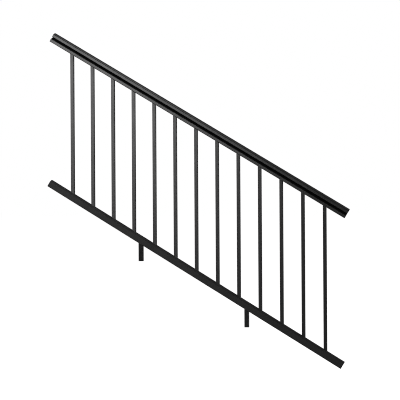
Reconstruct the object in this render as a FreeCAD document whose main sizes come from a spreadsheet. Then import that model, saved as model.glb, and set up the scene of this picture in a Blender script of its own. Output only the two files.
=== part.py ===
import FreeCAD, Part
import math
import os

import Sketcher

# Sloping railing section for a stair, in powder-coated aluminium.
#
# Two extruded rails run downhill along +X. Square balusters stand plumb between them, seated
# in a channel in each rail, and spacer strips close the channels between the balusters. Two
# short legs carry the bottom rail. The origin is the centre of the lower leg's foot, +Z is up
# and the section's mid-plane is Y = 0.

# Driving sizes, in millimetres. The slope is in degrees.
SIZES = {
    "slope": 31.3,
    "clear_height": 731,
    "rail_wall": 2,
    "end_room": 60,
    "top_rail_length": 1806,
    "top_rail_head": 105.7,
    "bottom_rail_length": 1800,
    "bottom_rail_head": 134.7,
    "crown_width": 50,
    "crown_rise": 8,
    "crown_shoulder": 9,
    "crown_height": 24.3,
    "crown_lip": 2,
    "groove_height": 13.8,
    "neck_width": 18,
    "base_width": 48,
    "base_height": 14.5,
    "base_edge": 1.5,
    "base_corner": 3.5,
    "top_seat_depth": 19,
    "bottom_rail_width": 44,
    "bottom_rail_height": 38,
    "bottom_rail_bevel": 9,
    "bottom_rail_edge": 2.5,
    "bottom_rail_corner": 3,
    "bottom_seat_depth": 20,
    "channel_lip": 7,
    "channel_clearance": 0.2,
    "bevel_margin": 0.3,
    "baluster_pitch": 110.5,
    "baluster_side": 18,
    "baluster_wall": 1.4,
    "baluster_corner": 1.2,
    "spacer_thickness": 6,
    "spacer_wall": 1.5,
    "leg_offset": 39.5,
    "leg_spacing": 556,
    "leg_height": 89.3,
    "leg_side": 23,
    "leg_wall": 1.8,
    "leg_corner": 1.5,
    "leg_foot": 3,
}

# The lower leg stands just downhill of this baluster, counted from 1 at the uphill end
LOWER_LEG_AFTER = 9

# How far an edge may lie from the corner that names it
EDGE_TOLERANCE = 0.01


class Size:
    """A value in the model, with the expression that ties it to the sheet."""

    def __init__(self, value, text):
        self.value = float(value)
        self.text = text

    def __add__(self, other):
        other = as_size(other)
        return Size(self.value + other.value, f"({self.text} + {other.text})")

    def __sub__(self, other):
        other = as_size(other)
        return Size(self.value - other.value, f"({self.text} - {other.text})")

    def __mul__(self, other):
        other = as_size(other)
        return Size(self.value * other.value, f"({self.text} * {other.text})")

    def __truediv__(self, other):
        other = as_size(other)
        return Size(self.value / other.value, f"({self.text} / {other.text})")

    def __neg__(self):
        return Size(-self.value, f"(0 - {self.text})")


def as_size(number):
    return number if isinstance(number, Size) else Size(number, f"{number}")


def root(number):
    return Size(math.sqrt(number.value), f"sqrt({number.text})")


def smaller(one, other):
    return Size(min(one.value, other.value), f"min({one.text}; {other.text})")


doc = FreeCAD.newDocument("railing_section")
sheet = doc.addObject("Spreadsheet::Sheet", "Sizes")
for row, (alias, number) in enumerate(SIZES.items(), start=1):
    sheet.set(f"A{row}", alias)
    sheet.set(f"B{row}", f"{number}")
    sheet.setAlias(f"B{row}", alias)
doc.recompute()


def size(alias):
    return Size(sheet.get(alias), f"Sizes.{alias}")


# What follows from the driving sizes
slope = size("slope")
sine = Size(math.sin(math.radians(slope.value)), "sin(Sizes.slope)")
cosine = Size(math.cos(math.radians(slope.value)), "cos(Sizes.slope)")
tangent = sine / cosine
wall = size("rail_wall")
side = size("baluster_side")
pitch = size("baluster_pitch")
slot_half = side / 2 + size("channel_clearance")
top_rail_height = size("crown_height") + size("groove_height") + size("base_height")
bottom_rail_height = size("bottom_rail_height")
zero = as_size(0)

# The tangent of half of the bevels' 45 degrees
tan_half_bevel = root(as_size(2)) - 1

# As many balusters as fit between the bottom rail's head and the room for an end bracket
run_for_balusters = size("bottom_rail_length") - size("bottom_rail_head") - size("end_room")
baluster_count = 1 + math.floor((run_for_balusters * cosine / pitch).value)


def baluster_x(number):
    """Where a baluster's axis stands, counted from 1 at the uphill end."""
    return pitch * (number - LOWER_LEG_AFTER) - size("leg_offset")


# Heights of the rails' lines above the lower foot, at a place along X
def bottom_rail_underside(across):
    return size("leg_height") - across * tangent


def bottom_rail_top(across):
    return bottom_rail_underside(across) + bottom_rail_height / cosine


def top_rail_underside(across):
    return bottom_rail_top(across) + size("clear_height")


def top_rail_top(across):
    return top_rail_underside(across) + top_rail_height / cosine


# Sketches
def new_body(name):
    body = doc.addObject("PartDesign::Body", name)
    body.Label = name
    return body


def new_sketch(body, role, name):
    sketch = body.newObject("Sketcher::SketchObject", f"{body.Name}_{name}")
    plane = next(item for item in body.Origin.OriginFeatures if item.Role == role)
    sketch.AttachmentSupport = [(plane, "")]
    sketch.MapMode = "FlatFace"
    return sketch


def tie(sketch, kind, *references, to):
    """One dimension of a sketch, bound to the sheet."""
    index = sketch.addConstraint(Sketcher.Constraint(kind, *references, to.value))
    sketch.setExpression(f"Constraints[{index}]", to.text)


def crown_arc(start, end, radius):
    """An arc over the top from a right-hand corner to a left-hand one."""
    half = start.distanceToPoint(end) / 2
    rise = radius - math.sqrt(radius**2 - half**2)
    top = (start + end) / 2 + FreeCAD.Vector(0, rise, 0)
    return Part.Arc(start, top, end)


def draw_outline(sketch, corners, crown_radius=None):
    """A closed outline through the corners, each one tied to the sheet.

    With a crown radius, the run from the last corner back to the first is an arc over the top.
    """
    spots = [FreeCAD.Vector(across.value, up.value, 0) for across, up in corners]
    runs = list(zip(spots, spots[1:] + spots[:1]))
    for start, end in runs[:-1]:
        sketch.addGeometry(Part.LineSegment(start, end))
    if crown_radius:
        sketch.addGeometry(crown_arc(*runs[-1], crown_radius.value))
    else:
        sketch.addGeometry(Part.LineSegment(*runs[-1]))
    for index, (across, up) in enumerate(corners):
        following = (index + 1) % len(corners)
        sketch.addConstraint(Sketcher.Constraint("Coincident", index, 2, following, 1))
        tie(sketch, "DistanceX", -1, 1, index, 1, to=across)
        tie(sketch, "DistanceY", -1, 1, index, 1, to=up)
    if crown_radius:
        tie(sketch, "Radius", len(corners) - 1, to=crown_radius)


def both_halves(right_half):
    """A symmetric outline from its right half, which is listed from the bottom to the top."""
    left_half = [(-across, up) for across, up in reversed(right_half)]
    return left_half + right_half


def square(half):
    return both_halves([(half, -half), (half, half)])


# Features
def extrude(body, name, sketch, length, side_type="One side"):
    pad = body.newObject("PartDesign::Pad", f"{body.Name}_{name}")
    pad.Profile = sketch
    pad.SideType = side_type
    pad.setExpression("Length", length.text)


def cut_through(body, name, sketch):
    pocket = body.newObject("PartDesign::Pocket", f"{body.Name}_{name}")
    pocket.Profile = sketch
    pocket.Type = "ThroughAll"
    pocket.SideType = "Symmetric"


def cut_upward(body, name, sketch, length):
    pocket = body.newObject("PartDesign::Pocket", f"{body.Name}_{name}")
    pocket.Profile = sketch
    pocket.Reversed = True
    pocket.setExpression("Length", length.text)


def lies_at(edge, plane, spot):
    """Whether both ends of an edge lie at a spot, seen square on to a plane such as "yz"."""
    misses = [abs(getattr(vertex.Point, name) - place)
              for vertex in edge.Vertexes for name, place in zip(plane, spot)]
    return max(misses) < EDGE_TOLERANCE


def round_edges(body, name, plane, corners, radius):
    """Fillet the edges that stand on the given corners of a plane and on their mirror images."""
    doc.recompute()
    feature = body.Tip
    spots = [(sign * across.value, up.value) for across, up in corners for sign in (-1, 1)]
    edges = [f"Edge{number}" for number, edge in enumerate(feature.Shape.Edges, start=1)
             if any(lies_at(edge, plane, spot) for spot in spots)]
    fillet = body.newObject("PartDesign::Fillet", f"{body.Name}_{name}")
    fillet.Base = (feature, edges)
    fillet.setExpression("Radius", radius.text)


def place(body, across, up, turn=None):
    """Stand a body at a place in the section's plane, turned downhill where it follows a rail."""
    rotation = FreeCAD.Rotation(FreeCAD.Vector(0, 1, 0), turn.value if turn else 0)
    body.Placement = FreeCAD.Placement(FreeCAD.Vector(across.value, 0, up.value), rotation)
    body.setExpression("Placement.Base.x", across.text)
    body.setExpression("Placement.Base.z", up.text)
    if turn:
        body.setExpression("Placement.Rotation.Angle", turn.text)


# Top rail: a crown that overhangs finger grooves, flanks that slope from its neck out to the
# base, and a channel that is open downward
def make_top_rail():
    crown = size("crown_width") / 2
    rise = size("crown_rise")
    lip = -size("crown_height")
    neck = size("neck_width") / 2
    groove = size("groove_height")
    base = size("base_width") / 2
    underside = -top_rail_height
    crown_radius = (crown * crown + rise * rise) / (rise * 2)
    body = new_body("top_rail")
    outside = new_sketch(body, "YZ_Plane", "outside")
    draw_outline(outside, both_halves([
        (base, underside),
        (base, lip - groove),
        (neck, lip),
        (crown, lip),
        (crown, -rise),
    ]), crown_radius)
    extrude(body, "extrusion", outside, size("top_rail_length"))

    hollow = crown - wall
    hollow_radius = crown_radius - wall
    hollow_top = root(hollow_radius * hollow_radius - hollow * hollow) - crown_radius
    crown_hollow = new_sketch(body, "YZ_Plane", "crown_hollow")
    draw_outline(crown_hollow, both_halves([
        (hollow, lip + wall),
        (hollow, hollow_top),
    ]), hollow_radius)
    cut_through(body, "crown_hollow_cut", crown_hollow)

    # Inside, the flanks lie one wall behind the outer ones, above the web and below it
    web = underside + size("top_seat_depth")
    run = base - neck
    flank = root(run * run + groove * groove)

    def inside_flank(up):
        return neck - wall * groove / flank + (lip - wall * run / flank - up) * run / groove

    neck_hollow = new_sketch(body, "YZ_Plane", "neck_hollow")
    draw_outline(neck_hollow, both_halves([
        (inside_flank(web + wall), web + wall),
        (inside_flank(lip), lip),
    ]))
    cut_through(body, "neck_hollow_cut", neck_hollow)

    channel = new_sketch(body, "YZ_Plane", "channel")
    lip_top = underside + size("channel_lip")
    behind_base = (base - wall - inside_flank(lip)) * groove / run
    draw_outline(channel, both_halves([
        (slot_half, underside),
        (slot_half, lip_top),
        (slot_half + wall, lip_top),
        (slot_half + wall, underside + wall),
        (base - wall, underside + wall),
        (base - wall, lip - behind_base),
        (inside_flank(web), web),
    ]))
    cut_through(body, "channel_cut", channel)

    shoulder = size("crown_shoulder")
    round_edges(body, "shoulders", "yz", [(crown, -rise)], shoulder)
    round_edges(body, "inner_shoulders", "yz", [(hollow, hollow_top)], shoulder - wall)
    round_edges(body, "lips", "yz", [(crown, lip)], size("crown_lip"))
    round_edges(body, "base_edges", "yz", [(base, lip - groove)], size("base_edge"))
    round_edges(body, "base_corners", "yz", [(base, underside)], size("base_corner"))

    start = baluster_x(1)
    head = size("top_rail_head")
    place(body, start - head * cosine, top_rail_top(start) + head * sine, turn=slope)


# Bottom rail: a channel that is open upward between bevelled shoulders, over a closed box
def make_bottom_rail():
    half = size("bottom_rail_width") / 2
    underside = -bottom_rail_height
    seat = -size("bottom_seat_depth")
    lip_end = -size("channel_lip")
    # The inside bevel lies one wall behind the outer one, which leaves room for the slot's lips
    behind_bevel = wall * tan_half_bevel
    room = half - behind_bevel - slot_half - wall - size("bevel_margin")
    bevel = smaller(size("bottom_rail_bevel"), room)
    body = new_body("bottom_rail")
    outside = new_sketch(body, "YZ_Plane", "outside")
    draw_outline(outside, both_halves([(half, underside), (half, -bevel), (half - bevel, zero)]))
    extrude(body, "extrusion", outside, size("bottom_rail_length"))

    channel = new_sketch(body, "YZ_Plane", "channel")
    draw_outline(channel, both_halves([
        (half - wall, seat),
        (half - wall, -(bevel + behind_bevel)),
        (half - bevel - behind_bevel, -wall),
        (slot_half + wall, -wall),
        (slot_half + wall, lip_end),
        (slot_half, lip_end),
        (slot_half, zero),
    ]))
    cut_through(body, "channel_cut", channel)

    box = new_sketch(body, "YZ_Plane", "box")
    draw_outline(box, both_halves([(half - wall, underside + wall), (half - wall, seat - wall)]))
    cut_through(body, "box_cut", box)

    round_edges(body, "bevel_edges", "yz", [(half, -bevel), (half - bevel, zero)],
                size("bottom_rail_edge"))
    round_edges(body, "corners", "yz", [(half, underside)], size("bottom_rail_corner"))

    start = baluster_x(1)
    head = size("bottom_rail_head")
    place(body, start - head * cosine, bottom_rail_top(start) + head * sine, turn=slope)


# Baluster: a plumb square tube, cut to the slope where it seats on the rails' webs
def make_baluster(number):
    half = side / 2
    drop = half * tangent
    seat = size("bottom_seat_depth") / cosine
    length = seat + size("clear_height") + size("top_seat_depth") / cosine
    body = new_body(f"baluster_{number:02d}")
    front = new_sketch(body, "XZ_Plane", "front")
    draw_outline(front, [(-half, length + drop), (-half, drop), (half, -drop),
                         (half, length - drop)])
    extrude(body, "tube", front, side, side_type="Symmetric")
    bore = new_sketch(body, "XY_Plane", "bore")
    draw_outline(bore, square(half - size("baluster_wall")))
    cut_through(body, "bore_cut", bore)
    round_edges(body, "corners", "xy", [(half, half), (half, -half)], size("baluster_corner"))
    axis = baluster_x(number)
    place(body, axis, bottom_rail_top(axis) - seat)


# Support leg: a square tube with a closed foot, its top cut to the bottom rail's slope
def make_leg(name, axis):
    half = size("leg_side") / 2
    drop = half * tangent
    height = size("leg_height")
    body = new_body(name)
    front = new_sketch(body, "XZ_Plane", "front")
    draw_outline(front, [(-half, height + drop), (-half, zero), (half, zero),
                         (half, height - drop)])
    extrude(body, "tube", front, size("leg_side"), side_type="Symmetric")
    bore = new_sketch(body, "XY_Plane", "bore")
    bore.setExpression("AttachmentOffset.Base.z", size("leg_foot").text)
    draw_outline(bore, square(half - size("leg_wall")))
    cut_upward(body, "bore_cut", bore, height + drop)
    round_edges(body, "corners", "xy", [(half, half), (half, -half)], size("leg_corner"))
    place(body, axis, bottom_rail_underside(axis) - height)


# Spacer: a shallow channel that lies in a rail's slot with its back flush with the rail
def make_spacer(name, start, up, length, inward, start_plumb=True, end_plumb=True):
    """A strip from a point on the slot's face, downhill along it.

    Inward is 1 where the strip reaches up into the rail and -1 where it reaches down. A plumb
    end lies against a baluster, and the other kind is flush with the rail's square end.
    """
    thickness = size("spacer_thickness") * inward
    skew = -(thickness * tangent)
    start_skew = skew if start_plumb else zero
    end_skew = skew if end_plumb else zero
    body = new_body(name)
    front = new_sketch(body, "XZ_Plane", "front")
    draw_outline(front, [(start_skew, thickness), (zero, zero), (length, zero),
                         (length + end_skew, thickness)])
    extrude(body, "strip", front, side, side_type="Symmetric")
    trough = new_sketch(body, "YZ_Plane", "trough")
    inside = side / 2 - size("spacer_wall")
    draw_outline(trough, both_halves([(inside, size("spacer_wall") * inward),
                                      (inside, thickness)]))
    cut_through(body, "trough_cut", trough)
    place(body, start, up, turn=slope)


def make_spacers(rail, slot_face, depth):
    """The strips of one rail: uphill of the first baluster, in each bay, downhill of the last.

    The depth is how far the slot's face lies below the rail's top line: nothing on the bottom
    rail. The rail's head is what it reaches uphill of the first baluster, along that line.
    """
    prefix = rail.replace("rail", "spacer")
    head = size(f"{rail}_head")
    inward = 1 if depth.value else -1
    first = baluster_x(1)
    head_start = first - head * cosine - depth * sine
    head_length = (first - side / 2 - head_start) / cosine
    make_spacer(f"{prefix}_01", head_start, slot_face(head_start), head_length, inward,
                start_plumb=False)
    bay = (pitch - side) / cosine
    for number in range(1, baluster_count):
        start = baluster_x(number) + side / 2
        make_spacer(f"{prefix}_{number + 1:02d}", start, slot_face(start), bay, inward)
    tail_start = baluster_x(baluster_count) + side / 2
    tail_length = size(f"{rail}_length") - (tail_start - head_start) / cosine
    make_spacer(f"{prefix}_{baluster_count + 1:02d}", tail_start, slot_face(tail_start),
                tail_length, inward, end_plumb=False)


make_top_rail()
make_bottom_rail()
for number in range(1, baluster_count + 1):
    make_baluster(number)
make_spacers("top_rail", top_rail_underside, top_rail_height)
make_spacers("bottom_rail", bottom_rail_top, zero)
make_leg("upper_support_leg", -size("leg_spacing"))
make_leg("lower_support_leg", zero)
doc.recompute()

# Nothing is written unless every feature is sound and every cut takes something away
for item in doc.Objects:
    if "Invalid" in item.State or "Error" in item.State:
        raise RuntimeError(f"{item.Name} failed: {item.State}")
    if item.TypeId == "PartDesign::Pocket" and item.Shape.Volume >= item.BaseFeature.Shape.Volume:
        raise RuntimeError(f"{item.Name} cuts nothing")
bodies = [item for item in doc.Objects if item.TypeId == "PartDesign::Body"]
for body in bodies:
    if body.Shape.isNull() or not body.Shape.isValid() or len(body.Shape.Solids) != 1:
        raise RuntimeError(f"{body.Label} is not one sound solid")

os.makedirs("parts", exist_ok=True)
for body in bodies:
    body.Shape.exportStep(f"parts/{body.Label}.step")
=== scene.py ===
import math

import bmesh
import bpy
from mathutils import Matrix, Vector

# Looks of a black, satin powder-coated railing section for a stair, in metres.
# +X runs level downhill, +Z is up and the viewer stands on the -Y side.

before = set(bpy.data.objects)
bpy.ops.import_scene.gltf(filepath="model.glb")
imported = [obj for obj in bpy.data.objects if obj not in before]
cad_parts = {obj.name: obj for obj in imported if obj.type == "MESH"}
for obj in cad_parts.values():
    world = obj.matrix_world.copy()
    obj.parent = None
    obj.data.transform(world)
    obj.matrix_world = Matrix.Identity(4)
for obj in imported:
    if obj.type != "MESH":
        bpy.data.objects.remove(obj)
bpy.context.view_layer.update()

# Turns about Y that lay +X along the metal: down the slope for the rails and plumb for the rest
SLOPE = math.radians(31.3)
UPRIGHT = math.radians(90)

# The railing's middle, which the softboxes face
RAILING_MIDDLE = Vector((-0.26, 0.0, 0.66))

# The coat's film: its colour and its index of refraction
BLACK = (0.002, 0.002, 0.0021, 1.0)
FILM_IOR = 1.5

# Noise of the coat, in features to the metre
CLOUDS = 9.0
SPECKLE = 420.0
DUST_PATCHES = 38.0
PEEL = 650.0

# How long, wide and deep a line of the die is
DIE_LINE = (0.3, 0.0012, 0.0012)

# How high the surface's bump can go, and the shares of it that the peel and the die's lines take
BUMP_HEIGHT = 0.001
PEEL_SHARE = 0.03
DIE_LINE_SHARE = 0.03

# Unevenness of the film, as factors of its colour and roughness
CLOUD_TONES = (0.93, 1.07)
SPECKLE_TONES = (0.94, 1.06)
CLOUD_ROUGHNESS = (0.94, 1.06)

# A trace of dust on what faces up: its colour, the share of a level face that it covers, how
# that share goes up and down, and the roughness that it adds
DUST_COLOUR = (0.20, 0.19, 0.18, 1.0)
DUST_SHARE = 0.02
DUST_COVER = (0.35, 1.0)
DUST_ROUGHNESS = 0.5

# Between these a noise has most of its values
NOISE_LOW = 0.3
NOISE_HIGH = 0.7

# The floor lies a little under the bottom rail's lower end
FLOOR_LEVEL = -0.24
FLOOR_REACH = 60.0
FLOOR_GREY = 0.5
FLOOR_GLOW = 0.92
FLOOR_ROUGHNESS = 0.9
WHITE = (1.0, 1.0, 1.0, 1.0)

# Gloss mirrors as white only the floor that lies behind this Y and left of this X
MIRRORED_BEHIND = 0.1
MIRRORED_LEFT = 0.2

# The dim room round the railing. Its heights are the Z of the direction looked in: the
# backdrop's top, and where the ceiling starts to show and shows in full
WALL_GREY = 0.012
CEILING_GREY = 0.25
BACKDROP_TOP = 0.09
CEILING_FROM = 0.35
CEILING_FULL = 0.75

# The camera of the photograph, whose picture is as sharp as a filter of one pixel gives
CAMERA_PLACE = Vector((0.8889, -6.0454, 0.6552))
CAMERA_AIM = Vector((-0.2414, 0.0, 0.6552))
CAMERA_ROLL = math.radians(-0.33)
CAMERA_LENS = 106.9
CAMERA_REACH = 100.0
SENSOR = 36.0
PIXEL_FILTER = 1.0


# Node helpers
def add_node(tree, kind, **settings):
    node = tree.nodes.new(kind)
    for name, setting in settings.items():
        setattr(node, name, setting)
    return node


def put(tree, socket, source):
    """Feed a socket from another socket, or set it to a plain value."""
    if isinstance(source, bpy.types.NodeSocket):
        tree.links.new(source, socket)
    else:
        socket.default_value = source


def math_node(tree, operation, *inputs):
    node = add_node(tree, "ShaderNodeMath", operation=operation)
    for socket, source in zip(node.inputs, inputs):
        put(tree, socket, source)
    return node.outputs[0]


def noise(tree, vector, scale, detail):
    node = add_node(tree, "ShaderNodeTexNoise")
    put(tree, node.inputs["Vector"], vector)
    put(tree, node.inputs["Scale"], scale)
    put(tree, node.inputs["Detail"], detail)
    return node.outputs["Fac"]


def spread(tree, value, from_low, from_high, to_low, to_high):
    """A value carried over from one range to another, and held inside it."""
    node = add_node(tree, "ShaderNodeMapRange", clamp=True)
    put(tree, node.inputs["Value"], value)
    put(tree, node.inputs["From Min"], from_low)
    put(tree, node.inputs["From Max"], from_high)
    put(tree, node.inputs["To Min"], to_low)
    put(tree, node.inputs["To Max"], to_high)
    return node.outputs[0]


def uneven(tree, value, low_and_high):
    """A noise value, which stays near a half, spread over a range."""
    return spread(tree, value, NOISE_LOW, NOISE_HIGH, *low_and_high)


def mix_colours(tree, share, first, second):
    node = add_node(tree, "ShaderNodeMix", data_type="RGBA")
    colours = [socket for socket in node.inputs if socket.type == "RGBA"]
    put(tree, node.inputs[0], share)
    put(tree, colours[0], first)
    put(tree, colours[1], second)
    return next(socket for socket in node.outputs if socket.type == "RGBA")


def along_axes(tree, vector):
    node = add_node(tree, "ShaderNodeSeparateXYZ")
    put(tree, node.inputs[0], vector)
    return node.outputs


# Powder coat: a cured plastic film with a fine peel, over metal drawn through a die
def powder_coat_group():
    group = bpy.data.node_groups.new("powder_coat", "ShaderNodeTree")
    face = group.interface
    for kind, name in (("NodeSocketVector", "Surface"), ("NodeSocketVector", "Drawn"),
                       ("NodeSocketColor", "Colour"), ("NodeSocketFloat", "Roughness"),
                       ("NodeSocketFloat", "Peel"), ("NodeSocketFloat", "Die lines"),
                       ("NodeSocketFloat", "Dust")):
        face.new_socket(name, in_out="INPUT", socket_type=kind)
    for kind, name in (("NodeSocketColor", "Colour"), ("NodeSocketFloat", "Roughness"),
                       ("NodeSocketVector", "Normal")):
        face.new_socket(name, in_out="OUTPUT", socket_type=kind)
    given = add_node(group, "NodeGroupInput").outputs
    out = add_node(group, "NodeGroupOutput").inputs

    clouds = noise(group, given["Surface"], CLOUDS, detail=3.0)
    speckle = noise(group, given["Surface"], SPECKLE, detail=2.0)
    dust_patches = noise(group, given["Surface"], DUST_PATCHES, detail=6.0)
    peel = noise(group, given["Surface"], PEEL, detail=1.0)
    lines = noise(group, given["Drawn"], scale=1.0, detail=2.0)

    # Colour: slightly uneven film, with a little dust on what faces up
    tone = math_node(group, "MULTIPLY", uneven(group, clouds, CLOUD_TONES),
                     uneven(group, speckle, SPECKLE_TONES))
    toned = add_node(group, "ShaderNodeVectorMath", operation="SCALE")
    put(group, toned.inputs[0], given["Colour"])
    put(group, toned.inputs["Scale"], tone)
    normal = add_node(group, "ShaderNodeNewGeometry").outputs["Normal"]
    facing_up = math_node(group, "MAXIMUM", along_axes(group, normal)["Z"], 0.0)
    settled = math_node(group, "MULTIPLY", facing_up, uneven(group, dust_patches, DUST_COVER))
    dusty = math_node(group, "MULTIPLY", settled, given["Dust"])
    put(group, out["Colour"], mix_colours(group, dusty, toned.outputs[0], DUST_COLOUR))

    # Roughness: the film's own, up and down with the clouds, rougher under dust
    film = math_node(group, "MULTIPLY", given["Roughness"], uneven(group, clouds, CLOUD_ROUGHNESS))
    under_dust = math_node(group, "MULTIPLY", dusty, DUST_ROUGHNESS)
    put(group, out["Roughness"], math_node(group, "ADD", film, under_dust))

    # Surface: the peel of the film, with the die's lines under it
    peeled = math_node(group, "MULTIPLY", peel, given["Peel"])
    lined = math_node(group, "MULTIPLY", lines, given["Die lines"])
    bump = add_node(group, "ShaderNodeBump")
    put(group, bump.inputs["Strength"], 1.0)
    put(group, bump.inputs["Distance"], BUMP_HEIGHT)
    put(group, bump.inputs["Height"], math_node(group, "ADD", peeled, lined))
    put(group, out["Normal"], bump.outputs[0])
    return group


POWDER_COAT = powder_coat_group()


def coated_metal(name, roughness, drawn_turn):
    """Black powder coat on metal that was drawn along X, turned by the given angle about Y."""
    material = bpy.data.materials.new(name)
    material.use_nodes = True
    tree = material.node_tree
    shader = tree.nodes["Principled BSDF"]
    place = add_node(tree, "ShaderNodeTexCoord").outputs["Object"]
    along = add_node(tree, "ShaderNodeMapping", vector_type="TEXTURE")
    put(tree, along.inputs["Vector"], place)
    put(tree, along.inputs["Rotation"], (0.0, drawn_turn, 0.0))
    put(tree, along.inputs["Scale"], DIE_LINE)
    coat = add_node(tree, "ShaderNodeGroup", node_tree=POWDER_COAT)
    for socket, source in (("Surface", place), ("Drawn", along.outputs[0]),
                           ("Colour", BLACK), ("Roughness", roughness), ("Peel", PEEL_SHARE),
                           ("Die lines", DIE_LINE_SHARE), ("Dust", DUST_SHARE)):
        put(tree, coat.inputs[socket], source)
    put(tree, shader.inputs["Base Color"], coat.outputs["Colour"])
    put(tree, shader.inputs["Roughness"], coat.outputs["Roughness"])
    put(tree, shader.inputs["Normal"], coat.outputs["Normal"])
    put(tree, shader.inputs["IOR"], FILM_IOR)
    return material


# The finish of each piece, by the start of its name. The legs share one.
LEG_BLACK = coated_metal("leg_black", roughness=0.17, drawn_turn=UPRIGHT)
FINISHES = {
    "top_rail": coated_metal("top_rail_black", roughness=0.35, drawn_turn=SLOPE),
    "bottom_rail": coated_metal("bottom_rail_black", roughness=0.62, drawn_turn=SLOPE),
    "baluster": coated_metal("baluster_black", roughness=0.35, drawn_turn=UPRIGHT),
    "top_spacer": coated_metal("top_spacer_black", roughness=0.4, drawn_turn=SLOPE),
    "bottom_spacer": coated_metal("bottom_spacer_black", roughness=0.4, drawn_turn=SLOPE),
    "upper_support_leg": LEG_BLACK,
    "lower_support_leg": LEG_BLACK,
}
for name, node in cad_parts.items():
    kind = next(start for start in FINISHES if name.startswith(start))
    for slot in node.material_slots:
        slot.material = FINISHES[kind]


# The studio: white floor and backdrop in a dim room, with a key softbox to the left of the
# viewer, a small one overhead and one behind the railing
def seen_as_white(tree, backdrop):
    """Where the camera sees plain white, and gloss and glass mirror the backdrop as white."""
    path = add_node(tree, "ShaderNodeLightPath").outputs
    mirrored = math_node(tree, "MAXIMUM", path["Is Glossy Ray"], path["Is Transmission Ray"])
    return math_node(tree, "MAXIMUM", path["Is Camera Ray"],
                     math_node(tree, "MULTIPLY", mirrored, backdrop))


def make_world():
    world = bpy.data.worlds.new("studio")
    bpy.context.scene.world = world
    world.use_nodes = True
    tree = world.node_tree
    shader = tree.nodes["Background"]
    direction = along_axes(tree, add_node(tree, "ShaderNodeTexCoord").outputs["Generated"])

    # The backdrop hangs where the photograph looks: behind the railing, left of straight
    # ahead, and little higher than the railing
    behind = math_node(tree, "GREATER_THAN", direction["Y"], 0.0)
    left = math_node(tree, "LESS_THAN", direction["X"], 0.0)
    low = math_node(tree, "LESS_THAN", direction["Z"], BACKDROP_TOP)
    backdrop = math_node(tree, "MULTIPLY", math_node(tree, "MULTIPLY", behind, left), low)
    room = spread(tree, direction["Z"], CEILING_FROM, CEILING_FULL, WALL_GREY, CEILING_GREY)
    put(tree, shader.inputs["Color"],
        mix_colours(tree, seen_as_white(tree, backdrop), room, WHITE))
    put(tree, shader.inputs["Strength"], 1.0)


def floor_material():
    """A pale matt floor that shows white, less the railing's soft shadow."""
    material = bpy.data.materials.new("floor_white")
    material.use_nodes = True
    tree = material.node_tree
    shader = tree.nodes["Principled BSDF"]
    put(tree, shader.inputs["Base Color"], (FLOOR_GREY, FLOOR_GREY, FLOOR_GREY, 1.0))
    put(tree, shader.inputs["Roughness"], FLOOR_ROUGHNESS)
    put(tree, shader.inputs["Specular IOR Level"], 0.0)
    spot = along_axes(tree, add_node(tree, "ShaderNodeTexCoord").outputs["Object"])
    behind = math_node(tree, "GREATER_THAN", spot["Y"], MIRRORED_BEHIND)
    left = math_node(tree, "LESS_THAN", spot["X"], MIRRORED_LEFT)
    backdrop = math_node(tree, "MULTIPLY", behind, left)
    put(tree, shader.inputs["Emission Color"], WHITE)
    put(tree, shader.inputs["Emission Strength"],
        math_node(tree, "MULTIPLY", seen_as_white(tree, backdrop), FLOOR_GLOW))
    return material


def make_floor():
    mesh = bpy.data.meshes.new("floor")
    floor = bpy.data.objects.new("floor", mesh)
    bpy.context.scene.collection.objects.link(floor)
    form = bmesh.new()
    bmesh.ops.create_grid(form, x_segments=1, y_segments=1, size=FLOOR_REACH,
                          matrix=Matrix.Translation((0.0, 0.0, FLOOR_LEVEL)))
    form.to_mesh(mesh)
    form.free()
    mesh.materials.append(floor_material())


def softbox(name, azimuth, elevation, distance, width, height, radiance):
    """A soft panel that faces the railing. Azimuth is degrees to the left of the viewer."""
    across = math.radians(azimuth)
    up = math.radians(elevation)
    way = Vector((-math.sin(across) * math.cos(up), -math.cos(across) * math.cos(up),
                  math.sin(up)))
    lamp = bpy.data.lights.new(name, "AREA")
    lamp.shape = "RECTANGLE"
    lamp.size = width
    lamp.size_y = height
    lamp.energy = radiance * math.pi * width * height
    panel = bpy.data.objects.new(name, lamp)
    bpy.context.scene.collection.objects.link(panel)
    panel.location = RAILING_MIDDLE + way * distance
    panel.rotation_mode = "QUATERNION"
    panel.rotation_quaternion = way.to_track_quat("Z", "Y")
    panel.visible_camera = False


def make_camera():
    lens = bpy.data.cameras.new("camera")
    lens.lens = CAMERA_LENS
    lens.sensor_width = SENSOR
    lens.clip_end = CAMERA_REACH
    camera = bpy.data.objects.new("camera", lens)
    bpy.context.scene.collection.objects.link(camera)
    facing = (CAMERA_PLACE - CAMERA_AIM).to_track_quat("Z", "Y").to_matrix().to_4x4()
    camera.matrix_world = (Matrix.Translation(CAMERA_PLACE) @ facing
                           @ Matrix.Rotation(CAMERA_ROLL, 4, "Z"))
    bpy.context.scene.camera = camera


make_world()
make_floor()
softbox("key_softbox", azimuth=20.0, elevation=17.6, distance=7.15, width=2.85, height=3.6,
        radiance=6.8)
softbox("top_softbox", azimuth=-49.0, elevation=80.8, distance=2.9, width=1.4, height=1.4,
        radiance=2.4)
softbox("back_softbox", azimuth=230.0, elevation=14.0, distance=7.0, width=3.2, height=3.2,
        radiance=4.0)
make_camera()
bpy.context.scene.cycles.filter_width = PIXEL_FILTER
bpy.context.scene.view_settings.view_transform = "Standard"
